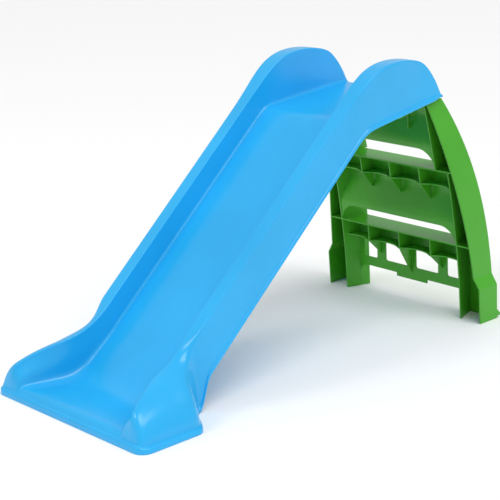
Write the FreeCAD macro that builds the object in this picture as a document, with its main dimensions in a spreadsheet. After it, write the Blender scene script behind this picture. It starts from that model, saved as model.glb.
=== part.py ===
import FreeCAD, Part
import math
import os

import Sketcher
from FreeCAD import Placement, Rotation, Vector

# A folding toddler slide. +X is the user's left when they face down the slide, +Y runs from the exit back to the
# ladder, +Z is up, and the origin is on the floor under the middle of the slide. All sizes are millimetres.

doc = FreeCAD.newDocument("toddler_slide")
sheet = doc.addObject("Spreadsheet::Sheet", "sizes")

SIZES = (
    # the slide's centre line, seen from the side: height = level at y 0 + slope * y
    ("slide_slope", 0.877),
    ("rim_level", 397),
    ("bed_level", 341.5),
    ("skirt_level", 294),
    ("skirt_slope", 0.885),
    ("shell_wall", 3.2),
    # handrail humps
    ("crest_height", 578),
    ("crest_middle", 268),
    ("crest_bow", 0.0023),
    ("crest_blend", 20),
    ("hump_back_level", 576),
    ("hump_back_start", 347),
    ("hump_back_fall", 1.55),
    ("hump_back_blend", 26),
    ("hump_swell", 9),
    # platform
    ("platform_start", 150),
    ("platform_height", 473),
    ("platform_rise", 0.08),
    ("rear_edge", 400),
    ("rear_lip_height", 484),
    ("hem_corner", 175),
    ("hem_slope", 0.157),
    # half-widths of the shell
    ("bed_half", 117),
    ("rim_inner_half", 119.5),
    ("rim_outer_half", 149.5),
    ("bed_fillet", 15),
    ("rim_round", 6),
    ("hem_lip", 4),
    ("hem_height", 8),
    # flared exit
    ("front_edge", -487),
    ("foot_half", 226),
    ("foot_corner", 24),
    ("foot_start", -286),
    ("foot_end", -350),
    ("pad_height", 24),
    ("nose_length", 34),
    ("nose_lip", 13),
    ("flare_start", -290),
    ("flare_more", -380),
    ("wall_flare", 0.17),
    ("rim_flare", 0.235),
    ("mound_start", -268),
    ("mound_end", -345),
    ("exit_rim_start", -340),
    ("exit_rim_height", 107),
    ("exit_rim_slope", 0.27),
    ("exit_droop_start", -395),
    ("exit_droop", 0.0022),
    # ladder rails
    ("rail_foot_outer", 225),
    ("rail_outer", 214),
    ("rail_top_outer", 145.3),
    ("rail_inner_low", 168),
    ("rail_inner_high", 134.5),
    ("rail_draft_low", 18),
    ("rail_draft_high", 10),
    ("rail_top", 480),
    ("rail_front", 430),
    ("rail_front_lean", 72),
    ("rail_front_power", 1.7),
    ("rail_back", 484.5),
    ("rail_back_lean", 78),
    ("rail_back_power", 3.1),
    ("foot_lug", 11),
    ("rail_wall", 2.8),
    ("foot_crease_low", 76),
    ("foot_crease_high", 98),
    # steps
    ("upper_tread", 330),
    ("lower_tread", 167),
    ("tread_depth", 53),
    ("tread_wall", 3),
    ("ledge_drop", 38),
    ("rib_wall", 3),
    ("upper_rib_pitch", 85),
    ("lower_rib_pitch", 91),
    ("gusset_drop", 38),
    ("scallop_depth", 14),
    ("panel_wall", 3),
    ("panel_inset", 2),
    ("panel_recess", 36),
    ("recess_rise", 78),
    ("top_panel_low", 371),
    ("step_panel_low", 203),
    ("opening_round", 42),
    ("lattice_low", 53),
    ("window_low", 74),
    ("window_high", 122),
    ("window_round", 5),
    ("bar_width", 26),
    ("window_end", 142),
    ("lattice_back", 463),
    # fold pivot
    ("pivot_y", 277),
    ("pivot_z", 470),
    ("boss_radius", 8),
    ("boss_end", 123.4),
    ("hub_bore", 8.08),
    ("hub_radius", 11.5),
    ("ear_inner", 124),
    ("ear_wall", 3.3),
    ("washer_radius", 12),
    ("washer_bore", 2.7),
    ("washer_wall", 1.5),
    ("screw_radius", 2.4),
    ("screw_length", 18),
    ("head_radius", 4.6),
    ("head_height", 3),
)
for row, (alias, number) in enumerate(SIZES, start=1):
    sheet.set(f"A{row}", alias.replace("_", " "))
    sheet.set(f"B{row}", str(number))
    sheet.setAlias(f"B{row}", alias)
doc.recompute()


def size(alias):
    """A driving dimension, read from the sheet."""
    return float(sheet.get(alias))


def smooth_min(first, second, span):
    """The lower of two heights, rounded off where they come within span of each other."""
    overlap = max(span - abs(first - second), 0.0) / span
    return min(first, second) - overlap * overlap * span / 4.0


def smooth_max(first, second, span):
    """The higher of two heights, rounded off where they come within span of each other."""
    return -smooth_min(-first, -second, span)


def smooth_step(position, start, end):
    """0 at start, 1 at end, with level ends."""
    part = min(max((position - start) / (end - start), 0.0), 1.0)
    return part * part * (3.0 - 2.0 * part)


# ---------------------------------------------------------------- slide chute
# One thin shell. Its upper skin is a net of cross-sections: each is the right half of the slide's section at one
# place along Y, mirrored, from the middle of the bed over the wall and the rim to the hem of the skirt.


def rim_height(y):
    """Top of the rolled rim: the slope, the bowed handrail hump, its steep back, and the low rise at the exit."""
    slope = size("rim_level") + size("slide_slope") * y
    crown = size("crest_height") - size("crest_bow") * (max(y, size("platform_start")) - size("crest_middle")) ** 2
    crest = smooth_min(slope, crown, size("crest_blend"))
    back = size("hump_back_level") - size("hump_back_fall") * (y - size("hump_back_start"))
    top = smooth_min(crest, back, size("hump_back_blend"))
    exit_rim = size("exit_rim_height") + size("exit_rim_slope") * (y - size("exit_rim_start"))
    exit_rim -= size("exit_droop") * max(size("exit_droop_start") - y, 0.0) ** 2
    return smooth_max(top, exit_rim, 16)


def bed_height(y):
    """Sliding surface: platform, slope and the level pad at the exit."""
    slope = size("bed_level") + size("slide_slope") * y
    platform = size("platform_height") + size("platform_rise") * (y - size("platform_start"))
    return smooth_max(smooth_min(slope, platform, 10), size("pad_height"), 24)


def hem_bottom(y):
    """Lower edge of the skirt: it falls to the floor behind the exit and turns level under the platform."""
    slope = size("skirt_level") + size("skirt_slope") * y
    corner = size("skirt_level") + size("skirt_slope") * size("hem_corner")
    level = corner + size("hem_slope") * (y - size("hem_corner"))
    return max(smooth_min(slope, level, 14), 0.0) * smooth_step(y, -290, -258)


def half_section(y):
    """Net points (x, z) from the middle of the bed to the hem, on the right side.

    Near the exit the rim and the skirt turn into a broad mound: a quarter oval from the rim down to the foot.
    """
    flare = max(size("flare_start") - y, 0.0) + max(size("flare_more") - y, 0.0)
    mound = smooth_step(y, size("mound_start"), size("mound_end"))
    swell = size("hump_swell") * smooth_step(y, 90, 190) * smooth_step(y, 350, 260)
    bed, rim, hem = bed_height(y), rim_height(y), hem_bottom(y)
    wall_in = size("bed_half") + size("wall_flare") * flare
    inner = size("rim_inner_half") + size("rim_flare") * flare
    outer = size("rim_outer_half") + swell
    foot = size("rim_outer_half") + 0.5
    foot += (size("foot_half") - 150) * smooth_step(y, size("foot_start"), size("foot_end"))
    lip = foot + size("hem_lip")
    hem_top = hem + size("hem_height")
    fillet = min(size("bed_fillet"), 0.45 * max(rim - bed, 1.0))
    curl = min(size("rim_round"), 0.4 * max(rim - bed, 1.0))
    points = [(wall_in * part, bed) for part in (0.0, 0.25, 0.5, 0.72)]
    points += [(wall_in - fillet, bed), (wall_in - 0.25 * fillet, bed)]
    points += [(wall_in, bed + 0.25 * fillet), (wall_in, bed + fillet)]
    points += [((wall_in + inner) / 2, (bed + fillet + rim - curl) / 2)]
    points += [(inner, rim - curl), (inner, rim - 0.25 * curl), (inner + 0.25 * curl, rim), (inner + curl, rim)]
    outside = [((inner + outer) / 2, rim), (outer - curl, rim), (outer - 0.25 * curl, rim)]
    outside += [(outer, rim - 0.25 * curl), (outer, rim - curl)]
    side_top = max(rim - curl, hem_top + 2)
    for part in (0.25, 0.5, 0.75):
        outside.append((outer + (foot - outer) * part, side_top + (hem_top + 3 - side_top) * part))
    start = inner + curl
    for index, (x, z) in enumerate(outside, start=1):
        turn = index / (len(outside) + 1) * math.pi / 2
        oval_x = start + (foot - start) * math.sin(turn) ** 1.2
        oval_z = hem_top + 3 + (rim - hem_top - 3) * math.cos(turn) ** 1.2
        points.append((x + (oval_x - x) * mound, z + (oval_z - z) * mound))
    points += [(foot, hem_top + 2), (foot + 1, hem_top), (lip - 0.6, hem_top - 1)]
    points += [(lip, hem + 0.5 * size("hem_height")), (lip, hem)]
    return points


def round_corner(x, y):
    """Turns the square front corner of the foot into a quarter circle, edge onto edge."""
    radius = size("foot_corner")
    side = size("foot_half") + size("hem_lip")
    across = 1 - (side - abs(x)) / radius
    along = 1 - (y - size("front_edge")) / radius
    if across <= 0 or along <= 0:
        return x, y
    turned_x = across * math.sqrt(1 - along * along / 2)
    turned_y = along * math.sqrt(1 - across * across / 2)
    return math.copysign(side - radius * (1 - turned_x), x), size("front_edge") + radius * (1 - turned_y)


def upper_net():
    """All section points, from the front edge on the floor back to the rear lip, as rows of vectors."""
    front, rear, lip = size("front_edge"), size("rear_edge"), size("nose_lip")
    nose_end = front + 3 + size("nose_length")
    rows = []
    stations = [(front, 0.0), (front, 9.0), (front + 2.5, 12.0)]
    middle = [front + step for step in (6, 11, 19, 29, 39, 51)]
    middle += [-420, -400, -380, -362, -350, -341, -332, -323, -314, -304, -296, -290, -284, -279, -274]
    middle += [-269, -264, -259, -252, -240, -220, -190, -150, -100, -50, 0, 50, 90, 115, 132, 145, 155, 168, 182]
    middle += [200, 225, 250, 275, 300, 318, 332, 345, 357, 368, 379, 389, 396]
    stations += [(y, None) for y in middle]
    stations += [(rear - 0.6, size("rear_lip_height") + 5), (rear, size("rear_lip_height"))]
    for y, level in stations:
        nose = 1.0
        if y < nose_end:
            nose = math.sqrt(max(1 - ((nose_end - y) / size("nose_length")) ** 2, 0.0)) if level is None else 0.0
        half = []
        for x, z in half_section(max(y, front + 3)):
            if y < nose_end:
                z = min(z, lip + max(z - lip, 0.0) * nose)
            half.append((x, z if level is None else min(z, level)))
        rear_drop = 9 * smooth_step(y, rear - 14, rear)
        row = []
        for x, z in [(-x, z) for x, z in reversed(half[1:])] + half:
            if y > rear - 14 and level is None:
                z = max(min(z, z - rear_drop), size("rear_lip_height"))
            px, py = round_corner(x, y) if y < front + size("foot_corner") else (x, y)
            row.append(Vector(px, py, max(z, 0.0)))
        rows.append(row)
    return rows


def inner_net(rows, wall):
    """The same net moved inwards by the wall thickness, square to the surface."""
    count, width = len(rows), len(rows[0])
    moved = []
    for i in range(count):
        line = []
        for j in range(width):
            reach = 1
            while True:
                a = rows[min(i + reach, count - 1)][j] - rows[max(i - reach, 0)][j]
                b = rows[i][min(j + reach, width - 1)] - rows[i][max(j - reach, 0)]
                normal = b.cross(a)
                if normal.Length > 0.05 * a.Length * b.Length and a.Length > 0.5 and b.Length > 0.5:
                    break
                reach += 1
                if reach > 6:
                    normal = Vector(rows[i][j].x, -abs(rows[i][j].x), 0)
                    break
            normal.normalize()
            point = rows[i][j] - normal * wall
            if i in (0, count - 1) or j in (0, width - 1):
                point.z = rows[i][j].z
            point.z = max(point.z, 0.0)
            line.append(point)
        moved.append(line)
    return moved


def spline_face(net, degree_rows=3, degree_columns=3):
    """A smooth face with the net as its control points, held to the net's own edges."""

    def knots(number, degree):
        spans = number - degree
        return [degree + 1] + [1] * (spans - 1) + [degree + 1], list(range(spans + 1))

    row_mults, row_knots = knots(len(net), degree_rows)
    column_mults, column_knots = knots(len(net[0]), degree_columns)
    surface = Part.BSplineSurface()
    surface.buildFromPolesMultsKnots(
        net, row_mults, column_mults, row_knots, column_knots, False, False, degree_rows, degree_columns
    )
    return surface


def patches(surface):
    """A smooth surface cut along its own grid into a few faces."""
    row_ends, column_ends = surface.bounds()[:2], surface.bounds()[2:]
    row_cuts = [round(row_ends[0] + (row_ends[1] - row_ends[0]) * part / 5) for part in range(6)]
    column_cuts = [round(column_ends[0] + (column_ends[1] - column_ends[0]) * part / 4) for part in range(5)]
    made = []
    for row_start, row_end in zip(row_cuts, row_cuts[1:]):
        for column_start, column_end in zip(column_cuts, column_cuts[1:]):
            piece = surface.copy()
            piece.segment(row_start, row_end, column_start, column_end)
            made.append(piece.toShape())
    return made


def thin_shell(upper, lower):
    """A closed solid between two nets of the same size."""
    faces = patches(spline_face(upper)) + patches(spline_face(lower))
    faces.append(spline_face([upper[0], lower[0]], 1, 3).toShape())
    faces.append(spline_face([upper[-1], lower[-1]], 1, 3).toShape())
    for column in (0, -1):
        edge = [[row[column] for row in upper], [row[column] for row in lower]]
        faces.append(spline_face(edge, 1, 3).toShape())
    shell = Part.makeCompound(faces)
    shell.sewShape(0.01)
    solid = Part.makeSolid(shell.Shells[0])
    if solid.Volume < 0:
        solid.reverse()
    return solid


chute_skin = doc.addObject("Part::Feature", "chute_skin")
upper = upper_net()
chute_skin.Shape = thin_shell(upper, inner_net(upper, size("shell_wall")))


def along_x(name, radius, start, end, side):
    """A cylinder about the fold axis between two distances from the middle, on one side (+1 or -1)."""
    rod = doc.addObject("Part::Cylinder", name)
    rod.setExpression("Radius", radius)
    rod.setExpression("Height", f"abs(({end}) - ({start}))")
    rod.Placement = Placement(Vector(0, 0, 0), Rotation(Vector(0, 1, 0), 90 * side))
    rod.setExpression("Placement.Base.x", f"{side} * ({start})")
    rod.setExpression("Placement.Base.y", "sizes.pivot_y")
    rod.setExpression("Placement.Base.z", "sizes.pivot_z")
    return rod


SIDES = (("left", 1), ("right", -1))
chute_parts = [chute_skin]
pilots = []
for side_name, side in SIDES:
    start = "sizes.boss_end"
    end = "sizes.rim_outer_half - 1"
    chute_parts.append(along_x(f"{side_name}_boss", "sizes.boss_radius", start, end, side))
    pilots.append(along_x(f"{side_name}_pilot", "sizes.screw_radius + 0.05", f"{start} - 1", f"{start} + 20", side))
chute_whole = doc.addObject("Part::MultiFuse", "chute_with_bosses")
chute_whole.Shapes = chute_parts
pilot_pair = doc.addObject("Part::MultiFuse", "pilot_holes")
pilot_pair.Shapes = pilots
slide_chute = doc.addObject("Part::Cut", "slide_chute")
slide_chute.Base = chute_whole
slide_chute.Tool = pilot_pair
slide_chute.Label = "slide_chute"

# ---------------------------------------------------------------- ladder frame
# One moulding. Its rails are channels open to the front; treads, ledges, ribs and panels join them.


def rail_front(z):
    """Front edge of a rail, leaning back towards the slide as it rises."""
    return size("rail_front") - size("rail_front_lean") * (z / size("rail_top")) ** size("rail_front_power")


def rail_back(z):
    """Back of a rail, leaning the same way a little more."""
    return size("rail_back") - size("rail_back_lean") * (z / size("rail_top")) ** size("rail_back_power")


def rail_outer(z):
    """Outer face of a rail: bowed inwards as it rises, with a straight wider foot below the crease."""
    bowed = size("rail_outer") - (size("rail_outer") - size("rail_top_outer")) * (z / 470.0) ** 2
    foot = 1 - smooth_step(z, size("foot_crease_low"), size("foot_crease_high"))
    return bowed + (size("rail_foot_outer") - bowed) * foot


def inner_wall(y, z, inner, draft):
    """Distance from the middle to a rail's inner face, which draws in by the draft from its front to its back."""
    return inner - draft * (y - rail_front(z)) / (rail_back(z) - rail_front(z))


def channel_wire(z, inner, draft):
    """A rail's section at one height: a channel open to the front, its inner wall drawn in towards the back."""
    outer, front, back = rail_outer(z), rail_front(z), rail_back(z)
    wall = size("rail_wall")
    rear = inner - draft
    corners = [(outer, front), (outer, back), (rear, back), (inner, front), (inner + wall, front)]
    corners += [(rear + wall, back - wall), (outer - wall, back - wall), (outer - wall, front)]
    points = [Vector(x, y, z) for x, y in corners]
    return Part.makePolygon(points + points[:1])


def rail_levels(kind):
    """Heights of the sections of a rail: of its wide part, or of the narrower one over the upper tread."""
    tread = size("upper_tread")
    if kind == "high":
        return [tread + (size("rail_top") - tread) * part / 7 for part in range(8)]
    low = [0, size("foot_crease_low"), size("foot_crease_high")]
    return low + [low[-1] + (tread - size("tread_wall") - low[-1]) * part / 10 for part in range(1, 11)]


def rail_shape():
    """One rail: a wide channel up to the upper tread, and a narrower one from there to the platform."""
    low = [size("rail_inner_low"), size("rail_draft_low")]
    high = [size("rail_inner_high"), size("rail_draft_high")]
    sections = [channel_wire(z, *low) for z in rail_levels("low")]
    sections += [channel_wire(z, *high) for z in rail_levels("high")]
    return Part.makeLoft(sections, True, True)


def between_rails(kind):
    """The space between the two inner walls and a little into them, which trims what joins them."""
    inner, draft = size(f"rail_inner_{kind}"), size(f"rail_draft_{kind}")
    bite, past = 1.2, 20
    sections = []
    for z in rail_levels(kind):
        front, back = rail_front(z) - past, rail_back(z) + past
        wide = inner_wall(front, z, inner, draft) + bite
        narrow = inner_wall(back, z, inner, draft) + bite
        corners = [(wide, front), (narrow, back), (-narrow, back), (-wide, front), (wide, front)]
        sections.append(Part.makePolygon([Vector(x, y, z) for x, y in corners]))
    return Part.makeLoft(sections, True, True)


def side_plate(points, x_low, x_high):
    """A plate square to X, from its outline in Y and Z."""
    outline = [Vector(x_low, y, z) for y, z in points]
    face = Part.Face(Part.makePolygon(outline + outline[:1]))
    return face.extrude(Vector(x_high - x_low, 0, 0))


def panel_line(kind, z):
    """Front face of a riser panel at one height: under the platform, under the upper tread, or the lattice."""
    if kind == "lower":
        tread = size("lower_tread")
        rear = rail_front(tread) + size("tread_depth")
        return rear + (size("lattice_back") - rear) * smooth_step(z, tread, tread - 45)
    low = size("top_panel_low") if kind == "top" else size("step_panel_low")
    return rail_front(z) + size("panel_inset") + size("panel_recess") * smooth_step(z, low, low + size("recess_rise"))


def riser_shape(kind, z_low, z_high, half_width):
    """A riser panel: its side outline drawn across between the rails."""
    wall = size("panel_wall")
    levels = [z_low + (z_high - z_low) * part / 12 for part in range(13)]
    front = [Vector(-half_width, panel_line(kind, z), z) for z in levels]
    back = [Vector(-half_width, panel_line(kind, z) + wall, z) for z in reversed(levels)]
    sides = []
    for line in (front, back):
        curve = Part.BSplineCurve()
        curve.interpolate(line)
        sides.append(curve.toShape())
    ends = [Part.makeLine(front[-1], back[0]), Part.makeLine(back[-1], front[0])]
    face = Part.Face(Part.Wire([sides[0], ends[0], sides[1], ends[1]]))
    return face.extrude(Vector(2 * half_width, 0, 0))


def rounded_window(x_low, x_high, z_low, z_high, radius):
    """A cutter that runs right through along Y, with rounded corners."""
    block = Part.makeBox(x_high - x_low, 200, z_high - z_low, Vector(x_low, 350, z_low))
    across = [edge for edge in block.Edges if abs(edge.tangentAt(edge.FirstParameter).y) > 0.9]
    return block.makeFillet(radius, across)


def step_shape(kind):
    """A tread with its ledge, its ribs with gussets below, out to the outer walls of the rails."""
    upper_step = kind == "upper"
    top = size("upper_tread") if upper_step else size("lower_tread")
    pitch = size("upper_rib_pitch") if upper_step else size("lower_rib_pitch")
    wall, ledge = size("tread_wall"), top - size("ledge_drop")
    front, rear = rail_front(top), rail_front(top) + size("tread_depth")
    reach = rail_outer(top) - 1
    inner = size("rail_inner_low") + 1.2
    between = between_rails("low")
    tread = Part.makeBox(2 * reach, rear + 7.5 - front, wall, Vector(-reach, front, top - wall))
    ledge_front = rail_front(ledge) + 1
    ledge_rear = panel_line(kind, ledge) + 1
    shelf = Part.makeBox(2 * inner, ledge_rear - ledge_front, wall, Vector(-inner, ledge_front, ledge - wall))
    bay = pitch - 2 * size("rib_wall")
    depth = size("scallop_depth")
    radius = (bay * bay / 4 + depth * depth) / (2 * depth)
    pieces = [tread]
    for bay_middle in [pitch * (index - 1.5) for index in range(4)]:
        centre = Vector(bay_middle, ledge_front + depth - radius, ledge - 2 * wall)
        shelf = shelf.cut(Part.makeCylinder(radius, 4 * wall, centre))
    pieces.append(shelf.common(between))
    for index in (-1, 0, 1):
        middle = index * pitch
        deep = kind == "lower" and index == 0
        drop = ledge - size("lattice_low") - 8 if deep else size("gusset_drop")
        low = ledge - wall - drop
        outline = [(front + 4, top - 1), (ledge_front + 0.4, ledge - 1), (ledge_front + 2, ledge - wall - 1)]
        outline += [(panel_line(kind, low) + 1, low), (panel_line(kind, ledge) + 1, ledge), (rear + 5, top - 1)]
        pieces.append(side_plate(outline, middle - size("rib_wall") / 2, middle + size("rib_wall") / 2))
    return pieces


def ladder_shape():
    """Both rails, both steps, the panels, and the ears with their bearing tubes."""
    rail = rail_shape()
    pieces = [rail, rail.mirror(Vector(0, 0, 0), Vector(1, 0, 0))]
    pieces += step_shape("upper") + step_shape("lower")
    high, low = size("rail_inner_high") + 2, size("rail_inner_low") + 2
    corner = size("opening_round")
    between_high, between_low = between_rails("high"), between_rails("low")
    tread = size("upper_tread")
    top_panel = riser_shape("top", tread + 1, size("rail_top") - 1, high)
    window = rounded_window(2 - high, high - 2, tread - 2 * corner, size("top_panel_low"), corner)
    pieces.append(top_panel.cut(window).common(between_high))
    tread = size("lower_tread")
    middle_panel = riser_shape("upper", tread - 1, size("upper_tread") - size("tread_wall") + 1, low)
    window = rounded_window(2 - low, low - 2, tread - 2 * corner, size("step_panel_low"), corner)
    pieces.append(middle_panel.cut(window).common(between_low))
    lattice = riser_shape("lower", 1, size("lower_tread") - 1, low)
    draft = size("rail_draft_low")
    side = inner_wall(size("lattice_back"), size("lattice_low"), size("rail_inner_low"), draft)
    tab = Part.makeBox(90, 200, 30, Vector(-45, 350, size("lattice_low") - 8))
    lattice = lattice.cut(rounded_window(0.5 - side, side - 0.5, -60, size("lattice_low"), 20).cut(tab))
    pitch, bar = size("lower_rib_pitch"), size("bar_width") / 2
    edges = [-size("window_end"), -pitch - bar, -pitch + bar, -bar, bar, pitch - bar, pitch + bar, size("window_end")]
    for left, right in zip(edges[0::2], edges[1::2]):
        cutter = rounded_window(left, right, size("window_low"), size("window_high"), size("window_round"))
        lattice = lattice.cut(cutter)
    pieces.append(lattice.common(between_low))
    rear_rib = [(panel_line("top", 440) - 14, 470), (panel_line("top", 410) - 4, 410)]
    rear_rib += [(panel_line("top", 410) + 1, 405), (panel_line("top", 470) + 1, 470)]
    for side in (-1, 1):
        pieces.append(side_plate(rear_rib, side * 62 - 1.5, side * 62 + 1.5))
    for side in (-1, 1):
        ends = sorted(side * x for x in (size("rail_foot_outer"), size("rail_foot_outer") - 30))
        back = size("rail_back") - 2
        lug = [(back, 4), (back + size("foot_lug") + 2, 4), (back + size("foot_lug") + 2, 9), (back, 22)]
        pieces.append(side_plate(lug, ends[0] + 0.5, ends[1] - 0.5))
    pieces += ear_pieces()
    whole = pieces[0]
    for piece in pieces[1:]:
        whole = whole.fuse(piece)
    return whole


def ear_pieces():
    """Two plates and a bearing tube on each side, reaching forward inside the skirt to the fold axis."""
    y, z, radius = size("pivot_y"), size("pivot_z"), size("hub_radius")
    outline = [(y - 3, z + radius - 0.4), (y + 68, z + 26), (y + 104, z + 18), (y + 112, z + 6)]
    outline += [(y + 100, z + 8), (y + 68, z + 2), (y + 2, z - radius + 0.2)]
    inner, outer, wall = size("ear_inner"), size("rail_top_outer"), size("ear_wall")
    made = []
    for side in (1, -1):
        low = min(side * inner, side * outer)
        tube = Part.makeCylinder(radius, outer - inner, Vector(low, y, z), Vector(1, 0, 0))
        bore = Part.makeCylinder(size("hub_bore"), 60, Vector(side * 130 - 30, y, z), Vector(1, 0, 0))
        plates = [side_plate(outline, *sorted((side * (outer - wall - 0.4), side * (outer - 0.4))))]
        plates.append(side_plate(outline, *sorted((side * (inner + 0.4), side * (inner + wall + 0.4)))))
        web = [(y + 60, z + 4), (y + 60, z + 7), (y + 112, z + 9), (y + 112, z + 6)]
        plates.append(side_plate(web, *sorted((side * (inner + 1), side * (outer - 1.5)))))
        made.append(tube.fuse(plates).cut(bore))
    return made


ladder_frame = doc.addObject("Part::Feature", "ladder_frame")
ladder_frame.Label = "ladder_frame"
ladder_frame.Shape = ladder_shape()

# ---------------------------------------------------------------- pivot hardware
# A washer against the end of each boss, and a pan-head screw in the boss.


def eval_size(text):
    """The number behind one of the simple expressions used in a profile."""
    total = 0.0
    for term in text.replace(" - ", " + -").split(" + "):
        sign = -1.0 if term.startswith("-") else 1.0
        product = 1.0
        for factor in term.lstrip("-").split(" * "):
            product *= size(factor[len("sizes."):]) if factor.startswith("sizes.") else float(factor)
        total += sign * product
    return total


def origin_plane(body, role):
    """One of a body's own origin planes."""
    return [item for item in body.Origin.OriginFeatures if item.Role == role][0]


def turned_body(label, outline, side, start):
    """A body turned about the fold axis. The outline is (distance along the axis, radius), in expressions."""
    body = doc.addObject("PartDesign::Body", label)
    body.Label = label
    sketch = body.newObject("Sketcher::SketchObject", f"{label}_profile")
    sketch.AttachmentSupport = (origin_plane(body, "XY_Plane"), [""])
    sketch.MapMode = "FlatFace"
    values = [[eval_size(text) for text in point] for point in outline]
    count = len(outline)
    for index in range(count):
        ends = [Vector(*values[index], 0), Vector(*values[(index + 1) % count], 0)]
        sketch.addGeometry(Part.LineSegment(*ends), False)
    for index in range(count):
        sketch.addConstraint(Sketcher.Constraint("Coincident", index, 2, (index + 1) % count, 1))
        for axis, text, kind in ((-2, outline[index][0], "DistanceX"), (-1, outline[index][1], "DistanceY")):
            if text == "0":
                sketch.addConstraint(Sketcher.Constraint("PointOnObject", index, 1, axis))
                continue
            number = values[index][0 if kind == "DistanceX" else 1]
            place = sketch.addConstraint(Sketcher.Constraint(kind, -1, 1, index, 1, number))
            sketch.setExpression(f"Constraints[{place}]", text)
    turn = body.newObject("PartDesign::Revolution", f"{label}_turned")
    turn.Profile = sketch
    turn.ReferenceAxis = (sketch, ["H_Axis"])
    turn.Angle = 360
    body.Placement = Placement(Vector(0, 0, 0), Rotation(Vector(0, 0, 1), 0 if side > 0 else 180))
    body.setExpression("Placement.Base.x", f"{side} * ({start})")
    body.setExpression("Placement.Base.y", "sizes.pivot_y")
    body.setExpression("Placement.Base.z", "sizes.pivot_z")
    return body


WASHER = (
    ("0", "sizes.washer_bore"),
    ("sizes.washer_wall", "sizes.washer_bore"),
    ("sizes.washer_wall", "sizes.washer_radius"),
    ("0", "sizes.washer_radius"),
)
SCREW = (
    ("0", "0"),
    ("sizes.head_height + sizes.screw_length", "0"),
    ("sizes.head_height + sizes.screw_length - 4", "sizes.screw_radius"),
    ("sizes.head_height", "sizes.screw_radius"),
    ("sizes.head_height", "sizes.head_radius"),
    ("sizes.head_height * 0.4", "sizes.head_radius"),
    ("0", "sizes.head_radius * 0.6"),
)
hardware = []
for side_name, side in SIDES:
    start = "sizes.boss_end - sizes.washer_wall"
    hardware.append(turned_body(f"{side_name}_pivot_washer", WASHER, side, start))
    hardware.append(turned_body(f"{side_name}_pivot_screw", SCREW, side, f"{start} - sizes.head_height"))

doc.recompute()
for item in doc.Objects:
    if "Invalid" in item.State or "Error" in item.State:
        raise RuntimeError(f"{item.Label} did not compute: {item.State}")
sub_parts = (slide_chute, ladder_frame, *hardware)
for item in sub_parts:
    if item.Shape.isNull() or not item.Shape.isValid():
        raise RuntimeError(f"{item.Label} has no valid shape")
os.makedirs("parts", exist_ok=True)
for item in sub_parts:
    item.Shape.exportStep(f"parts/{item.Label}.step")
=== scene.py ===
import math

import bpy
import numpy as np
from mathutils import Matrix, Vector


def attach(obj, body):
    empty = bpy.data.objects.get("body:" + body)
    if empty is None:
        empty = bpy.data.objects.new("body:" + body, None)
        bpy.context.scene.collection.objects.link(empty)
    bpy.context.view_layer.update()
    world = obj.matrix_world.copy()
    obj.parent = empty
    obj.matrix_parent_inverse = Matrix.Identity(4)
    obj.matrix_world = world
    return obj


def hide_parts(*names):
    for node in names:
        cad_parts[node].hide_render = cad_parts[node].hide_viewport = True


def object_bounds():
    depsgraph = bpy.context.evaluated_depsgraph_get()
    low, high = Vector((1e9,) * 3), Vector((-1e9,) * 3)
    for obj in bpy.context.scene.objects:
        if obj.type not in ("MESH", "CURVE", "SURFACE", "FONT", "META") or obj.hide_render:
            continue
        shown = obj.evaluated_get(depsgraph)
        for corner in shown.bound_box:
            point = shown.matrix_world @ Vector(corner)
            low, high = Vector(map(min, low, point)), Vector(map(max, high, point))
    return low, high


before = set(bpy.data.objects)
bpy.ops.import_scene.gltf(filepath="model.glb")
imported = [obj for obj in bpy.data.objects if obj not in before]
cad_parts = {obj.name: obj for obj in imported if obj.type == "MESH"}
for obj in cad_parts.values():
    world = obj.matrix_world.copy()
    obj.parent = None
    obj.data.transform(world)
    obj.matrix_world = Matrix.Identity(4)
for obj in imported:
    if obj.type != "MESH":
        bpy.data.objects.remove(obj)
cad_low, cad_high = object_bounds()
scene = bpy.context.scene

# ---------------------------------------------------------------- studio
# A plain pale floor under a white sky, soft light from the ceiling, one square lamp over the exit, a weaker one over
# the ladder, and a long lens that looks at the exit and the +X side.

camera = bpy.data.objects.new("studio_camera", bpy.data.cameras.new("studio_camera"))
camera.location = (2.2437, -1.9788, 1.1053)
camera.rotation_euler = [math.radians(turn) for turn in (73.728, 2.461, 47.590)]
camera.data.sensor_width = 36
camera.data.lens = 112.1
camera.data.shift_x = -0.0225
camera.data.shift_y = -0.0125
camera.data.clip_end = 60
scene.collection.objects.link(camera)
scene.camera = camera
scene.view_settings.view_transform = "Standard"

sky = bpy.data.worlds.new("studio_sky")
sky.use_nodes = True
sky.node_tree.nodes["Background"].inputs["Color"].default_value = (1, 1, 1, 1)
sky.node_tree.nodes["Background"].inputs["Strength"].default_value = 0.62
scene.world = sky


def lamp(name, place, aim, width, power):
    """A square soft lamp at place that shines towards aim."""
    made = bpy.data.objects.new(name, bpy.data.lights.new(name, "AREA"))
    made.data.size = width
    made.data.energy = power
    made.location = place
    away_x, away_y, away_z = np.subtract(place, aim)
    tilt = math.atan2(math.hypot(away_x, away_y), away_z)
    made.rotation_euler = (tilt, 0, math.atan2(away_x, -away_y))
    scene.collection.objects.link(made)


lamp("lamp_over_exit", (-1.2, -2.6, 3.4), (0, 0, 0.3), 1.2, 26)
lamp("lamp_over_ladder", (2.6, 0.8, 3.0), (0, 0.1, 0.3), 1.2, 16)

ceiling = bpy.data.objects.new("ceiling_light", bpy.data.lights.new("ceiling_light", "SUN"))
ceiling.data.angle = math.radians(35)
ceiling.data.energy = 1.15
ceiling.rotation_euler = (math.radians(4), math.radians(24), 0)
scene.collection.objects.link(ceiling)


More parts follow.
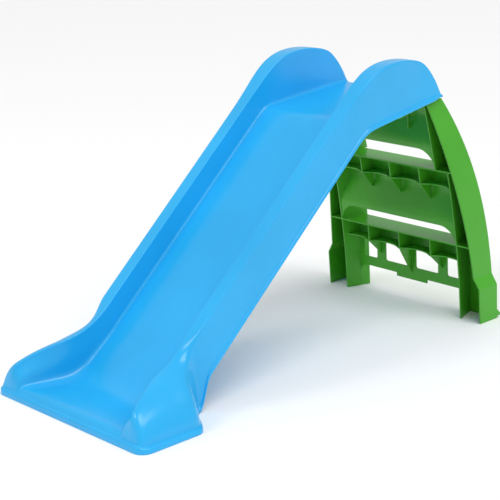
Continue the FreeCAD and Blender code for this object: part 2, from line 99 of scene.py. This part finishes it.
class Socket:
    """A socket of a material. + - and * on it add Math nodes, and node() adds any other node."""

    def __init__(self, tree, link):
        self.tree = tree
        self.link = link

    def node(self, kind, settings=(), values=(), output=0):
        """Adds a node of that type: its settings first, then what its inputs hold or are linked to."""
        made = self.tree.nodes.new(kind)
        for name, setting in dict(settings).items():
            setattr(made, name, setting)
        for name, value in dict(values).items():
            if isinstance(value, Socket):
                self.tree.links.new(value.link, made.inputs[name])
            else:
                made.inputs[name].default_value = value
        return Socket(self.tree, made.outputs[output]) if made.outputs else None

    def maths(self, operation, first, second):
        return self.node("ShaderNodeMath", {"operation": operation}, {0: first, 1: second})

    def __add__(self, other):
        return self.maths("ADD", self, other)

    def __sub__(self, other):
        return self.maths("SUBTRACT", self, other)

    def __rsub__(self, other):
        return self.maths("SUBTRACT", other, self)

    def __mul__(self, other):
        return self.maths("MULTIPLY", self, other)

    __radd__ = __add__
    __rmul__ = __mul__

    def between(self, low, high):
        """0 below low, 1 above high, and a straight ramp between them."""
        values = {"Value": self, "From Min": low, "From Max": high}
        return self.node("ShaderNodeMapRange", {"clamp": True}, values)


def new_finish(name):
    """An empty node-based material, and its Object coordinates."""
    finish = bpy.data.materials.new(name)
    finish.use_nodes = True
    finish.node_tree.nodes.clear()
    place = Socket(finish.node_tree, None).node("ShaderNodeTexCoord", output=3)
    return finish, place


def plain_floor():
    """A wide level sheet of pale paint, a hair below the floor line so that nothing flickers on it."""
    mesh = bpy.data.meshes.new("studio_floor")
    reach = 30
    level = cad_low.z - 0.0005
    corners = [(-reach, -reach), (reach, -reach), (reach, reach), (-reach, reach)]
    mesh.from_pydata([(x, y, level) for x, y in corners], [], [(0, 1, 2, 3)])
    floor = bpy.data.objects.new("studio_floor", mesh)
    finish, place = new_finish("floor_paint")
    grain = place.node("ShaderNodeTexNoise", (), {"Vector": place, "Scale": 60.0, "Detail": 2.0})
    values = {"Base Color": (0.97, 0.97, 0.97, 1), "Roughness": 0.7 + 0.1 * grain, "Specular IOR Level": 0.2}
    surface = place.node("ShaderNodeBsdfPrincipled", (), values)
    place.node("ShaderNodeOutputMaterial", (), {"Surface": surface})
    mesh.materials.append(finish)
    scene.collection.objects.link(floor)


plain_floor()

# ---------------------------------------------------------------- slide chute
# The slide itself: one injection-moulded shell of light blue plastic. Bed, side walls, rolled rims, handrail humps,
# platform and flared foot are one skin about 3 mm thick, open underneath, which stands on the rim of its foot. The
# two small bosses inside the skirts, which carry the ladder's ears, are left out of this skin.

# Sizes in this section are in mm, and MM makes them metres.

MM = 0.001
WALL = 3.2
SLOPE = 0.877  # rise of the bed and the rim for each mm towards the ladder
RIM_LEVEL = 397  # rim and bed at y 0
BED_LEVEL = 341.5
PLATFORM_START = 150
PLATFORM_HEIGHT = 473
PAD_HEIGHT = 24  # the level part of the bed at the exit
HUMP_HEIGHT = 578
HUMP_MIDDLE = 268
HUMP_BACK = 347  # where the hump starts to fall towards the rear
HUMP_BACK_HEIGHT = 576
HUMP_SWELL = 9  # how much further out the rim stands on the hump
SKIRT_SLOPE = 0.885
SKIRT_LEVEL = 294  # lower edge of the skirt at y 0
SKIRT_CORNER = 175  # where the skirt's edge turns level under the platform
BED_HALF = 117  # half-widths of the bed, the rim and the skirt on the slope
RIM_INNER = 119.5
RIM_OUTER = 149.5
SKIRT_HALF = 150
FOOT_GROWTH = 71  # how much further out the foot stands at the exit
FOOT_HALF = 230
FOOT_CORNER = 24
LIP = 4  # the step along the lower edge of the skirt: how far out, and how high
LIP_HEIGHT = 8
LIP_GROWTH = 5
EXIT_RIM_START = -340
EXIT_RIM_HEIGHT = 107
FLARE_START = -290  # the walls spread from here on, and more so from the second place
FLARE_MORE = -380
MOUND = (-268, -345)  # start and end of the turn from rim and skirt into the mound
SPREAD = (-286, -350)  # the same for the foot
FRONT = -485
REAR = 400
REAR_HEIGHT = 484
NOSE_END = -462  # the front of the exit is rounded from here down to the lip
NOSE_LENGTH = 15
NOSE_LIP = 13


def blend_low(first, second, span):
    """The lower of two heights, rounded off by a parabola where they come within span of each other."""
    overlap = np.clip(span - np.abs(first - second), 0, None) / span
    return np.minimum(first, second) - overlap * overlap * span / 4


def blend_high(first, second, span):
    """The higher of two heights, rounded off in the same way."""
    return -blend_low(-first, -second, span)


def ease(position, start, end):
    """0 at start and 1 at end, on a cubic with level ends."""
    part = np.clip((position - start) / (end - start), 0, 1)
    return part * part * (3 - 2 * part)


def rim_height(y):
    """Top of the rim: the slope, the bowed crest of the hump, its falling back, and the low exit."""
    bow = 0.0023 * (np.maximum(y, PLATFORM_START) - HUMP_MIDDLE) ** 2
    crest = blend_low(RIM_LEVEL + SLOPE * y, HUMP_HEIGHT - bow, 20)
    top = blend_low(crest, HUMP_BACK_HEIGHT - 1.55 * (y - HUMP_BACK), 26)
    droop = 0.0022 * np.clip(-395 - y, 0, None) ** 2
    return blend_high(top, EXIT_RIM_HEIGHT + 0.27 * (y - EXIT_RIM_START) - droop, 16)


def bed_height(y):
    """The sliding surface: the platform, the slope and the level pad at the exit."""
    platform = PLATFORM_HEIGHT + 0.08 * (y - PLATFORM_START)
    return blend_high(blend_low(BED_LEVEL + SLOPE * y, platform, 10), PAD_HEIGHT, 24)


def hem_height(y):
    """The skirt's lower edge: along the slope, nearly level under the platform, and on the floor at the exit."""
    level = SKIRT_LEVEL + SKIRT_SLOPE * SKIRT_CORNER + 0.157 * (y - SKIRT_CORNER)
    edge = np.clip(blend_low(SKIRT_LEVEL + SKIRT_SLOPE * y, level, 14), 0, None)
    return edge * ease(y, -290, -258)


def section_net(y):
    """Right half of the slide's section at each y: net points (x, z) from mid bed over wall and rim to the hem.

    Near the exit the rim and the skirt turn into a broad mound, a quarter oval from the rim down to the foot.
    """
    flare = np.clip(FLARE_START - y, 0, None) + np.clip(FLARE_MORE - y, 0, None)
    mound = ease(y, *MOUND)
    spread = ease(y, *SPREAD)
    swell = ease(y, 90, 190) * ease(y, 350, 260)
    bed, rim, hem = bed_height(y), rim_height(y), hem_height(y)
    wall = BED_HALF + 0.17 * flare
    inner = RIM_INNER + 0.235 * flare
    outer = RIM_OUTER + HUMP_SWELL * swell
    foot = SKIRT_HALF + FOOT_GROWTH * spread
    lip = foot + LIP * ease(y, REAR, 376) + LIP_GROWTH * spread
    hem_top = hem + LIP_HEIGHT + 3 * spread
    depth = np.clip(rim - bed, 1, None)
    cove = np.minimum(15 + 20 * ease(y, -290, -400), 0.45 * depth)
    curl = np.minimum(5, 0.4 * depth)
    side_top = np.maximum(rim - curl, hem_top + 2)
    points = [(wall * part, bed) for part in (0, 0.25, 0.5, 0.72)]
    points += [(wall - cove, bed), (wall - 0.25 * cove, bed), (wall, bed + 0.25 * cove), (wall, bed + cove)]
    points += [((wall + inner) / 2, (bed + cove + rim - curl) / 2), (inner, rim - curl)]
    points += [(inner, rim - 0.25 * curl), (inner + 0.25 * curl, rim), (inner + curl, rim)]
    outside = [((inner + outer) / 2, rim), (outer - curl, rim), (outer - 0.25 * curl, rim)]
    outside += [(outer, rim - 0.25 * curl), (outer, rim - curl)]
    for part in (0.25, 0.5, 0.75):
        outside.append((outer + (foot - outer) * part, side_top + (hem_top + 3 - side_top) * part))
    for index, (x, z) in enumerate(outside, start=1):
        turn = index / (len(outside) + 1) * math.pi / 2
        oval_x = inner + curl + (foot - inner - curl) * math.sin(turn) ** 1.2
        oval_z = hem_top + 3 + (rim - hem_top - 3) * math.cos(turn) ** 1.2
        points.append((x + (oval_x - x) * mound, z + (oval_z - z) * mound))
    points += [(foot, hem_top + 2), (foot + 1, hem_top), (lip - 0.6, hem_top - 1)]
    points += [(lip, hem + LIP_HEIGHT / 2), (lip, hem)]
    return np.stack([np.stack(point, -1) for point in points], 1)


def spline_rows(count, fine):
    """Weights of an even cubic B-spline with clamped ends: one row for each of fine points a span."""
    spans = count - 3
    knots = np.concatenate([np.zeros(3), np.arange(spans + 1), np.full(3, spans)])
    at = np.linspace(0, spans, spans * fine + 1)
    inside = np.minimum(np.floor(at), spans - 1)
    weights = (inside[:, None] == knots[None, :-1]) & (np.diff(knots)[None] > 0)
    weights = weights.astype(float)
    for degree in (1, 2, 3):
        start, end = knots[: -degree - 1], knots[degree + 1 :]
        rise = (at[:, None] - start) / np.maximum(knots[degree:-1] - start, 1e-9)
        fall = (end - at[:, None]) / np.maximum(end - knots[1:-degree], 1e-9)
        weights = rise * weights[:, :-1] + fall * weights[:, 1:]
    return weights


def chute_net():
    """The control net: sections from the front edge on the floor back to the rear lip, mirrored.

    The sections lie close together where the shape turns: at the nose, the mound, the platform and the hump.
    """
    middle = [-481.5, -479, -476, -472, -467, -460, -450, -436, -420, -400, -380, -362, -350, -341, -332, -323]
    middle += [-314, -304, -296, -290, -284, -279, -274, -269, -264, -259, -252, -240, -220, -190, -150, -100]
    middle += [-50, 0, 50, 90, 115, 132, 145, 155, 168, 182, 200, 225, 250, 275, 300, 318, 332, 345, 357, 368]
    middle += [379, 389, 396]
    no_cap = 1000
    y = np.array([FRONT, FRONT, FRONT + 2.5, *middle, REAR - 0.6, REAR], float)
    cap = np.array([0, 9, 12, *[no_cap] * len(middle), REAR_HEIGHT + 5, REAR_HEIGHT], float)
    capped = (cap < no_cap)[:, None]
    half = section_net(np.maximum(y, FRONT + 3))
    x, z = half[..., 0], half[..., 1]
    nose = np.sqrt(np.clip(1 - ((NOSE_END - y) / NOSE_LENGTH) ** 2, 0, None))[:, None]
    nose = np.where(cap[:, None] < PAD_HEIGHT, 0, nose)
    z = np.where(y[:, None] < NOSE_END, np.minimum(z, NOSE_LIP + np.clip(z - NOSE_LIP, 0, None) * nose), z)
    drop = np.where((y[:, None] > REAR - 14) & ~capped, 9 * ease(y, REAR - 14, REAR)[:, None], 0)
    z = np.where(drop > 0, np.maximum(z - drop, REAR_HEIGHT), z)
    z = np.clip(np.minimum(z, cap[:, None]), 0, None)
    y = np.broadcast_to(y[:, None], x.shape)
    across = np.clip(1 - (FOOT_HALF - x) / FOOT_CORNER, 0, None)
    along = np.clip(1 - (y - FRONT) / FOOT_CORNER, 0, None)
    corner = (across > 0) & (along > 0)
    turned_x = FOOT_HALF - FOOT_CORNER * (1 - across * np.sqrt(1 - along * along / 2))
    turned_y = FRONT + FOOT_CORNER * (1 - along * np.sqrt(1 - across * across / 2))
    right = np.stack([np.where(corner, turned_x, x), np.where(corner, turned_y, y), z], -1)
    left = right[:, :0:-1] * (-1, 1, 1)
    return np.concatenate([left, right], 1)


def shell_mesh(name, skin, wall):
    """A closed shell: the skin's grid, and the same grid moved inwards by wall along its normals.

    The edges stay level with the skin's, and nothing goes below the floor.
    """
    along = np.gradient(skin, axis=0)
    across = np.gradient(skin, axis=1)
    normal = np.cross(across, along)
    length = np.linalg.norm(normal, axis=-1, keepdims=True)
    normal = normal / np.maximum(length, 1e-12)
    normal = np.where(length < 1e-9, np.roll(normal, -1, 0), normal)
    inside = skin - wall * normal
    inside[:, [0, -1], 2] = skin[:, [0, -1], 2]
    inside[[0, -1], :, 2] = skin[[0, -1], :, 2]
    inside[..., 2] = np.clip(inside[..., 2], 0, None)
    ring = np.concatenate([skin, inside[:, ::-1]], 1)
    rows, width = ring.shape[:2]
    mark = np.arange(rows * width).reshape(rows, width)
    turned = np.roll(mark, -1, 1)
    sides = np.stack([mark[:-1], turned[:-1], turned[1:], mark[1:]], -1).reshape(-1, 4)
    half = width // 2
    faces = [sides]
    for row, flip in ((0, -1), (-1, 1)):
        upper, lower = mark[row, :half], mark[row, ::-1][:half]
        cap = np.stack([upper[:-1], upper[1:], lower[1:], lower[:-1]], -1)
        faces.append(cap[:, ::flip])
    faces = np.concatenate(faces)
    mesh = bpy.data.meshes.new(name)
    mesh.from_pydata(ring.reshape(-1, 3).tolist(), [], faces.tolist())
    mesh.polygons.foreach_set("use_smooth", np.ones(len(faces), bool))
    mesh.set_sharp_from_angle(angle=math.radians(50))
    mesh.validate()
    return mesh


def add_piece(name, mesh, body, node, finish):
    """Puts a finished mesh in the scene in place of its CAD node."""
    piece = bpy.data.objects.new(name, mesh)
    mesh.materials.clear()
    mesh.materials.append(finish)
    scene.collection.objects.link(piece)
    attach(piece, body)
    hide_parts(node)


def moulded_plastic(name, colour, roughness, edge):
    """Moulded polypropylene: slightly cloudy colour, an uneven satin gloss, a fine mould texture and a few scuffs.

    Sharp edges look rounded to the radius edge, in metres, or stay as they are where it is 0.
    """
    finish, place = new_finish(name)
    cloud = place.node("ShaderNodeTexNoise", (), {"Vector": place, "Scale": 5.0, "Detail": 3.0})
    grain = place.node("ShaderNodeTexNoise", (), {"Vector": place, "Scale": 1400.0, "Detail": 2.0})
    ripple = place.node("ShaderNodeTexNoise", (), {"Vector": place, "Scale": 26.0, "Detail": 2.0})
    streak = place.node("ShaderNodeMapping", (), {"Vector": place, "Scale": (90.0, 9.0, 9.0)})
    scuff = place.node("ShaderNodeTexNoise", (), {"Vector": streak, "Scale": 6.0, "Detail": 6.0})
    scuff = scuff.between(0.66, 0.78)
    dark = tuple(0.93 * part for part in colour) + (1,)
    light = tuple(min(1.0, 1.05 * part + 0.004) for part in colour) + (1,)
    tint = place.node(
        "ShaderNodeMix",
        {"data_type": "RGBA"},
        {0: cloud.between(0.3, 0.7), 6: dark, 7: light},
        output=2,
    )
    gloss = roughness + 0.05 * (ripple - 0.5) + 0.04 * (grain - 0.5) + 0.05 * scuff
    values = {"Height": grain + 0.4 * ripple, "Strength": 0.06, "Distance": 0.0004}
    if edge:
        soft = place.node("ShaderNodeBevel", {"samples": 6}, {"Radius": edge})
        values["Normal"] = soft
    bump = place.node("ShaderNodeBump", (), values)
    values = {"Base Color": tint, "Roughness": gloss, "Normal": bump, "IOR": 1.49}
    values["Specular IOR Level"] = 0.5
    surface = place.node("ShaderNodeBsdfPrincipled", (), values)
    place.node("ShaderNodeOutputMaterial", (), {"Surface": surface})
    return finish


net = chute_net()
steps = 3
rows, columns = [spline_rows(count, steps) for count in net.shape[:2]]
chute_skin = np.einsum("ai,ijk,bj->abk", rows, net, columns) * MM
blue = moulded_plastic("light_blue_plastic", (0.014, 0.42, 0.84), 0.22, 0)
chute_mesh = shell_mesh("slide_chute_shell", chute_skin, WALL * MM)
add_piece("slide_chute_shell", chute_mesh, "chute", "slide_chute", blue)

# ---------------------------------------------------------------- ladder frame
# The ladder: one injection-moulded frame of leaf green plastic. Two channel rails open to the front, two treads with
# ribs, the riser panels and the lattice are one piece, which stands on the rails' ends and hangs by two ears from the
# slide.

green = moulded_plastic("leaf_green_plastic", (0.055, 0.37, 0.012), 0.30, 0.0016)
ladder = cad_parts["ladder_frame"]
ladder.data.materials.clear()
ladder.data.materials.append(green)

# ---------------------------------------------------------------- pivot hardware
# Zinc-plated steel, bought in: a stamped washer and a pan-head self-tapping screw in the end of each boss hold the
# ladder's ears, and they are the pin that the ladder folds about.


def zinc_plate(name, shade, roughness):
    """Zinc plate: cool grey, finely turned, with duller patches."""
    finish, place = new_finish(name)
    patch = place.node("ShaderNodeTexNoise", (), {"Vector": place, "Scale": 160.0, "Detail": 3.0})
    turned = place.node("ShaderNodeMapping", (), {"Vector": place, "Scale": (2500.0, 200.0, 200.0)})
    lines = place.node("ShaderNodeTexNoise", (), {"Vector": turned, "Scale": 1.0, "Detail": 2.0})
    dull = tuple(0.86 * part for part in shade) + (1,)
    tint = place.node("ShaderNodeMix", {"data_type": "RGBA"}, {0: patch, 6: dull, 7: (*shade, 1)}, output=2)
    bump = place.node("ShaderNodeBump", (), {"Height": lines, "Strength": 0.2, "Distance": 0.0001})
    values = {"Base Color": tint, "Metallic": 1.0, "Roughness": roughness + 0.14 * patch, "Normal": bump}
    surface = place.node("ShaderNodeBsdfPrincipled", (), values)
    place.node("ShaderNodeOutputMaterial", (), {"Surface": surface})
    return finish


washer_zinc = zinc_plate("washer_zinc", (0.62, 0.63, 0.66), 0.30)
screw_zinc = zinc_plate("screw_zinc", (0.66, 0.66, 0.67), 0.24)
for node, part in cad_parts.items():
    if node.endswith(("washer", "screw")):
        part.data.materials.clear()
        part.data.materials.append(washer_zinc if node.endswith("washer") else screw_zinc)
